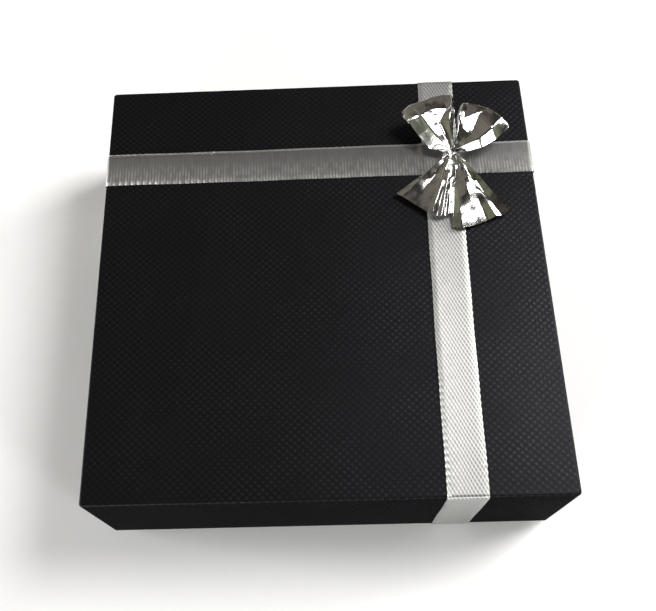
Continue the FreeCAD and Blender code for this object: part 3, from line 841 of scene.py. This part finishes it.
def make_foam():
    """A cut foam pad: crowned top, sides drawn in between the corners, and open slits."""
    half = (FOAM_HIGH[0] - FOAM_LOW[0]) / 2 - 0.05 * MM
    x, y = insert_grid(half)
    inset = half - np.maximum(np.abs(x), np.abs(y))
    away = slit_distance(x, y)
    rim_drop = 0.75 * MM * (1 - smoothstep(inset, 0, RIM_ROUND)) ** 2
    mouth = MOUTH_DEPTH * (1 - smoothstep(away, 0.9 * MM, 1.6 * MM))
    deep = SLIT_DEPTH * (1 - smoothstep(away, 0.2 * MM, 0.55 * MM))
    top_z = FOAM_HIGH[2] - insert_swell(x, y, half) - rim_drop - mouth - deep
    rows, columns = x.shape
    top = np.stack([x, y, top_z], -1).reshape(-1, 3)
    bottom = np.stack([x, y, np.full(x.shape, FOAM_LOW[2])], -1).reshape(-1, 3)

    number = np.arange(rows * columns).reshape(rows, columns)
    loop = np.concatenate([number[0, :-1], number[:-1, -1], number[-1, :0:-1], number[:0:-1, 0]])
    levels = np.linspace(0, 1, 12)[1:-1]
    edge = top[loop]
    middle = 2 - (edge[:, 0] / half) ** 2 - (edge[:, 1] / half) ** 2  # 1 midway along a side, 0 at a corner
    sides = []
    for share in levels:
        drawn_in = 0.45 * MM * np.clip(middle, 0, 1) * math.sin(math.pi * share)
        wave = 0.05 * MM * np.sin(edge[:, 0] / (5 * MM) + edge[:, 1] / (4 * MM) + 5 * share)
        scale = 1 - (drawn_in + np.abs(wave) - 0.04 * MM * math.sin(math.pi * share)) / half
        z = edge[:, 2] * (1 - share) + FOAM_LOW[2] * share
        sides.append(np.stack([edge[:, 0] * scale, edge[:, 1] * scale, z], -1))
    first_side = 2 * rows * columns
    count = len(loop)
    rings = [loop] + [first_side + k * count + np.arange(count) for k in range(len(levels))]
    rings.append(loop + rows * columns)
    faces = [grid_faces(rows, columns), grid_faces(rows, columns)[:, ::-1] + rows * columns]
    for upper, lower in zip(rings, rings[1:]):
        faces.append(np.stack([upper, lower, np.roll(lower, -1), np.roll(upper, -1)], -1))
    mesh = new_mesh("foam_pad_soft", np.concatenate([top, bottom, *sides]), np.concatenate(faces))
    pad = add_piece("foam_pad_soft", mesh, "insert", "foam", ["foam_pad"])
    return pad


def make_facing(pad):
    """The flocked sheet laid on the foam, its cut lips pushed a little way down into the slits."""
    half = (FACING_HIGH[0] - FACING_LOW[0]) / 2 - 0.15 * MM
    x, y = insert_grid(half)
    inset = half - np.maximum(np.abs(x), np.abs(y))
    away = slit_distance(x, y)
    rim_drop = 0.45 * MM * (1 - smoothstep(inset, 0, RIM_ROUND)) ** 2
    lips = LIP_DEPTH * (1 - smoothstep(away, 0.05 * MM, 0.75 * MM))
    roll = 0.30 * MM * np.exp(-((away / (1.2 * MM)) ** 2))
    z = FACING_HIGH[2] - FLOCK_THICK / 2 - insert_swell(x, y, half) - rim_drop - lips - roll
    mesh = new_mesh("flocked_facing_sheet", np.stack([x, y, z], -1), grid_faces(*x.shape))
    sheet = add_piece("flocked_facing_sheet", mesh, "insert", "flock", ["flocked_facing"])
    thicken(sheet, FLOCK_THICK)


# ---------------------------------------------------------------- studio


def aim(thing, place, target):
    thing.location = place
    thing.rotation_euler = (Vector(target) - Vector(place)).to_track_quat("-Z", "Y").to_euler()


def add_light(name, place, target, side, watts, colour):
    lamp = bpy.data.lights.new(name, "AREA")
    lamp.shape = "RECTANGLE"
    lamp.size = lamp.size_y = side
    lamp.energy = watts
    lamp.color = colour
    made = bpy.data.objects.new(name, lamp)
    bpy.context.scene.collection.objects.link(made)
    aim(made, place, target)


WHITE = (1.0, 1.0, 1.0)
# Each panel's name, elevation and azimuth (from +Y towards +X) in degrees seen from the lid,
# distance and side in metres, power in watts and colour.
PANELS = [
    ("key", 54, 68, 0.9, 0.33, 6.2, (1.0, 0.99, 0.98)),
    ("window", 19, 66, 0.9, 0.30, 5.0, (1.0, 0.99, 0.97)),
    ("back_fill", 45, 335, 0.9, 1.1, 0.38, (1.0, 0.9, 0.82)),
    ("left_low", 8, 210, 0.9, 0.18, 5.5, WHITE),
    ("left_side", 8, 270, 0.9, 0.30, 10.0, WHITE),
    ("right_low", 8, 130, 0.9, 0.22, 5.0, WHITE),
    ("front_card", 8, 170, 0.9, 0.22, 0.8, WHITE),
]


def make_studio():
    far = 3.0
    corners = [(-far, -far, 0), (far, -far, 0), (far, far, 0), (-far, far, 0)]
    mesh = new_mesh("floor", corners, [(0, 1, 2, 3)])
    floor = bpy.data.objects.new("floor", mesh)
    bpy.context.scene.collection.objects.link(floor)
    mesh.materials.append(studio_floor())
    make_world()
    middle = Vector((0, 0, LID_TOP))
    for name, elevation, azimuth, distance, side, watts, colour in PANELS:
        up, round_ = math.radians(elevation), math.radians(azimuth)
        away = Vector((math.cos(up) * math.sin(round_), math.cos(up) * math.cos(round_), math.sin(up)))
        add_light(name, middle + away * distance, middle, side, watts, colour)


def make_world():
    """The dim room round the box: brown and nearly black overhead, olive at the left and low down."""
    world = bpy.data.worlds.new("studio")
    bpy.context.scene.world = world
    world.use_nodes = True
    tree = world.node_tree

    def ramp(value, low, high):
        made = tree.nodes.new("ShaderNodeMapRange")
        made.interpolation_type = "SMOOTHSTEP"
        tree.links.new(value, made.inputs["Value"])
        made.inputs["From Min"].default_value = low
        made.inputs["From Max"].default_value = high
        return made.outputs["Result"]

    def blend(factor, a, b):
        made = tree.nodes.new("ShaderNodeMix")
        made.data_type = "RGBA"
        tree.links.new(factor, made.inputs[0])
        for socket, value in ((made.inputs[6], a), (made.inputs[7], b)):
            if isinstance(value, bpy.types.NodeSocket):
                tree.links.new(value, socket)
            else:
                socket.default_value = value
        return made.outputs[2]

    place = tree.nodes.new("ShaderNodeTexCoord").outputs["Generated"]
    axes = tree.nodes.new("ShaderNodeSeparateXYZ")
    tree.links.new(place, axes.inputs[0])
    cloud = tree.nodes.new("ShaderNodeTexNoise")
    tree.links.new(place, cloud.inputs["Vector"])
    cloud.inputs["Scale"].default_value = 2.6
    cloud.inputs["Detail"].default_value = 1.0
    brown = blend(ramp(cloud.outputs["Fac"], 0.4, 0.6), rgb(0.020, 0.018, 0.017), rgb(0.075, 0.060, 0.050))
    olive = blend(ramp(cloud.outputs["Fac"], 0.35, 0.6), rgb(0.05, 0.052, 0.040), rgb(0.20, 0.205, 0.13))
    side = ramp(axes.outputs[0], -0.15, -0.75)
    room = blend(side, brown, olive)
    room = blend(ramp(axes.outputs[2], 0.45, 0.05), room, olive)
    tree.links.new(room, tree.nodes["Background"].inputs["Color"])


def make_camera():
    """The camera looks down at the lid from in front, a little rolled."""
    elevation, azimuth, roll = (math.radians(angle) for angle in (64.43, -3.67, -5.12))
    from_lid = Vector((-0.0004, -0.8104, 1.7956))  # from the middle of the lid's top, in sides of the lid
    data = bpy.data.cameras.new("camera")
    data.sensor_width = 36.0
    data.lens = 48.57
    data.shift_x, data.shift_y = 0.0489, -0.0802
    data.clip_start, data.clip_end = 0.01, 20.0
    camera = bpy.data.objects.new("camera", data)
    bpy.context.scene.collection.objects.link(camera)
    level = math.cos(elevation)
    ahead = Vector((math.sin(azimuth) * level, math.cos(azimuth) * level, -math.sin(elevation)))
    right = ahead.cross(Vector((0, 0, 1))).normalized()
    right = Matrix.Rotation(-roll, 3, ahead) @ right
    up = right.cross(ahead)
    place = from_lid * LID_SIDE + Vector((0, 0, LID_TOP))
    turn = Matrix((right, up, -ahead)).transposed().to_4x4()
    camera.matrix_world = Matrix.Translation(place) @ turn
    bpy.context.scene.camera = camera


make_camera()
make_studio()
dress_cad_nodes()
make_ribbons()
make_bow()
make_tie()
make_facing(make_foam())

scene = bpy.context.scene
scene.view_settings.view_transform = "Standard"
scene.view_settings.look = "None"
